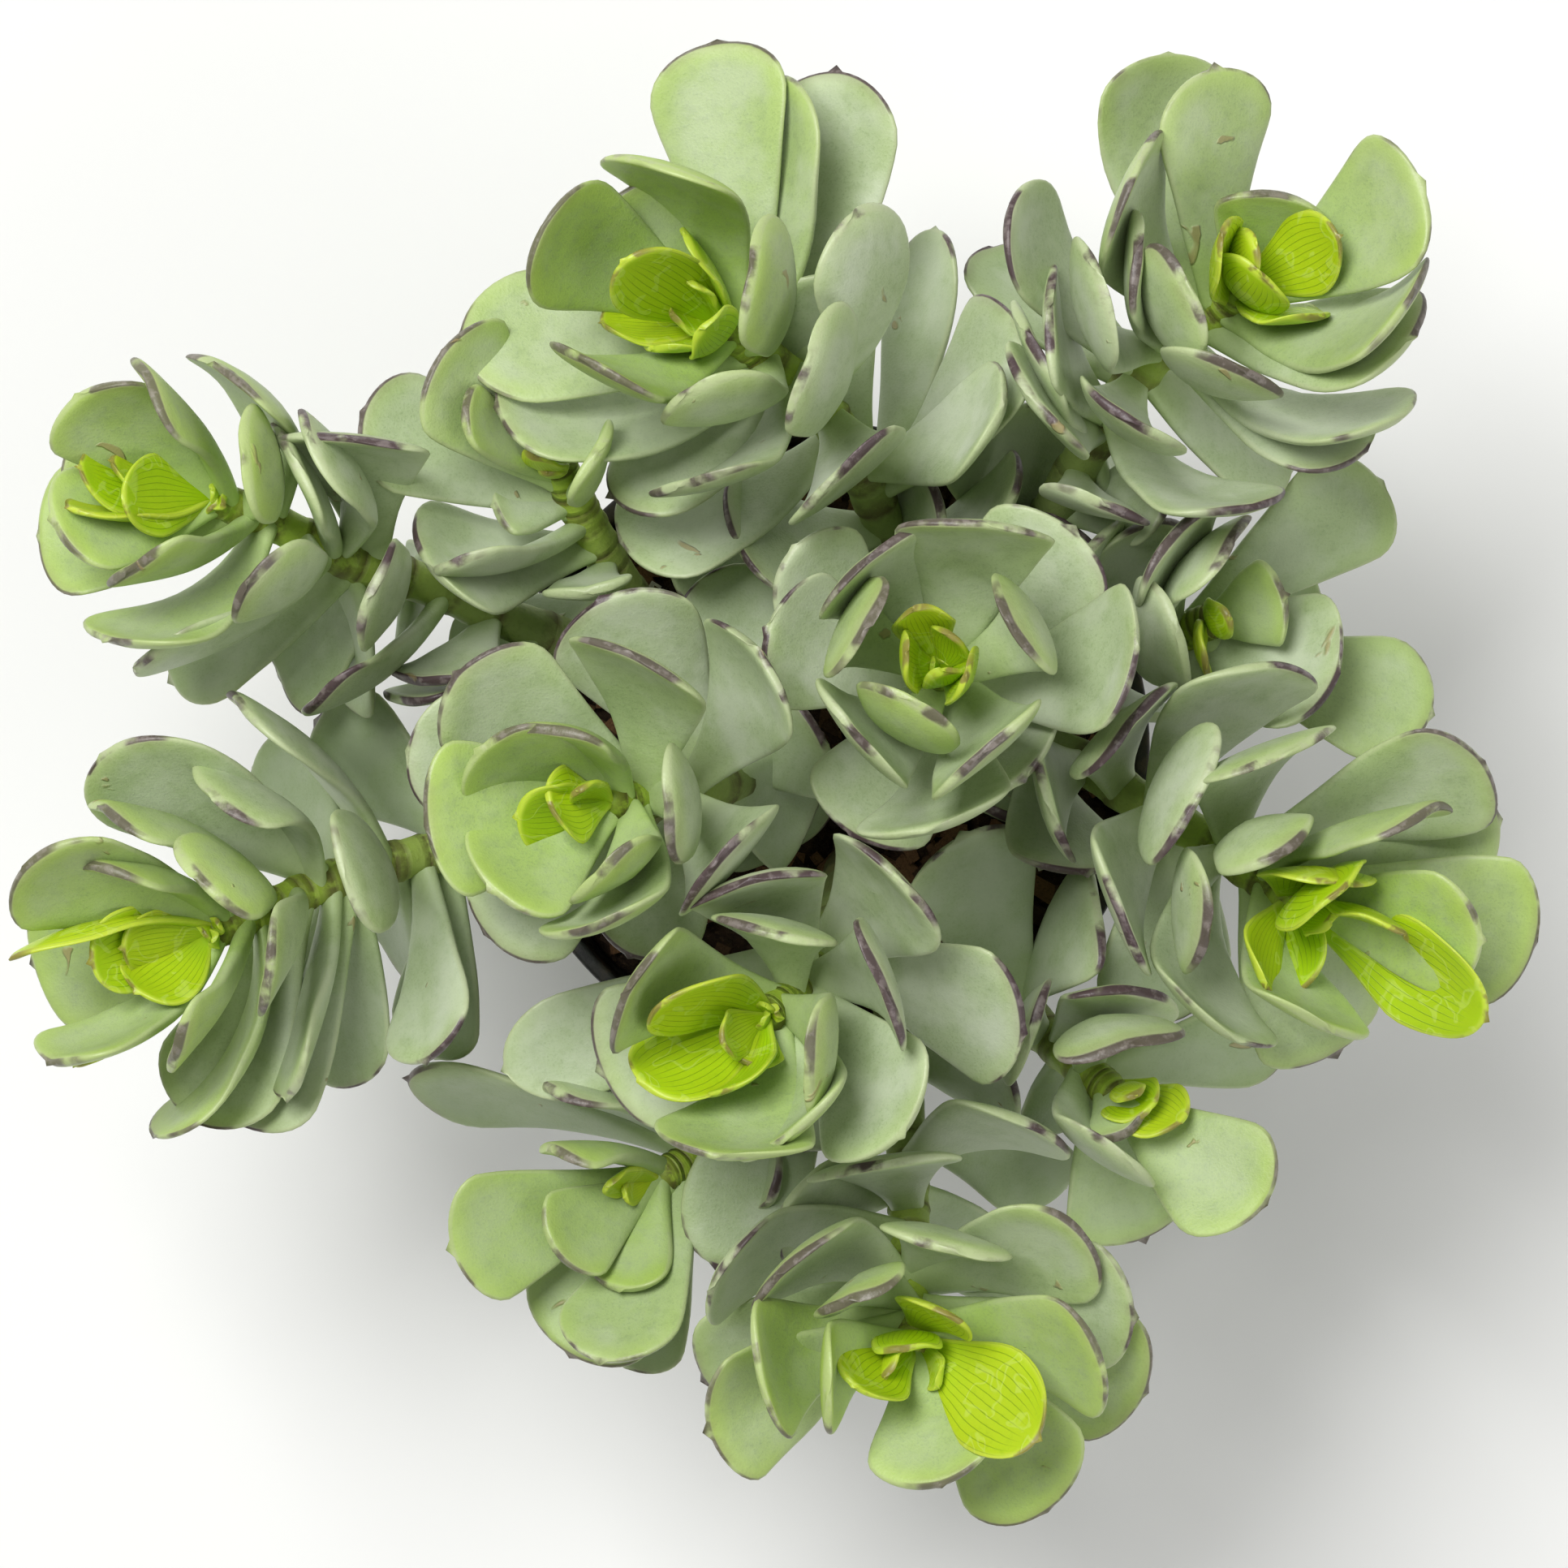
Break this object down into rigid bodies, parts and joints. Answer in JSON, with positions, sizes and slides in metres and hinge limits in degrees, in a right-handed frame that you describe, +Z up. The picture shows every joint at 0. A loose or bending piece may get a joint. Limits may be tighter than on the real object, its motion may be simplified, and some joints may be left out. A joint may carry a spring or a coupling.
{
  "type": "potted succulent plant",
  "caption": "Many-shooted leaf succulent with thick grey-green paddle leaves, purple margins and lime young crowns, spreading from a round tapered black nursery pot.",
  "frame": {"origin": "centre of the pot's underside, on the surface that it stands on", "axes": "+Z up; +X to the right and +Y to the top of the picture taken from straight above, so the front is the picture's lower side"},
  "size_m": [0.3542, 0.3483, 0.2416],
  "materials": {
    "pot_plastic": "satin",
    "soil": "matte",
    "shoot": "satin",
    "leaf": "satin"
  },
  "bodies": {
    "root": {"leaf_back_1": "leaf", "leaf_back_10": "leaf", "leaf_back_12": "leaf", "leaf_back_18": "leaf", "leaf_back_3": "leaf", "leaf_back_left_1": "leaf", "leaf_back_right_1": "leaf", "leaf_back_right_11": "leaf", "leaf_back_right_16": "leaf", "leaf_back_right_5": "leaf", "leaf_back_right_8": "leaf", "leaf_front_10": "leaf", "leaf_front_13": "leaf", "leaf_front_9": "leaf", "leaf_front_left_1": "leaf", "leaf_front_left_4": "leaf", "leaf_front_right_7": "leaf", "leaf_left_lower_1": "leaf", "leaf_left_lower_12": "leaf", "leaf_left_lower_2": "leaf", "leaf_left_lower_6": "leaf", "leaf_left_upper_18": "leaf", "leaf_left_upper_9": "leaf", "leaf_middle_front_13": "leaf", "leaf_middle_front_6": "leaf", "leaf_middle_left_1": "leaf", "leaf_middle_left_15": "leaf", "leaf_middle_right_8": "leaf", "leaf_middle_right_9": "leaf", "leaf_right_13": "leaf", "leaf_right_17": "leaf", "leaf_right_upper_1": "leaf", "pot": "pot_plastic", "shoot_back": "shoot", "shoot_back_left": "shoot", "shoot_back_right": "shoot", "shoot_front": "shoot", "shoot_front_left": "shoot", "shoot_front_right": "shoot", "shoot_left_lower": "shoot", "shoot_left_upper": "shoot", "shoot_middle_front": "shoot", "shoot_middle_left": "shoot", "shoot_middle_right": "shoot", "shoot_right": "shoot", "shoot_right_upper": "shoot", "soil": "soil"}
  },
  "joints": []
}
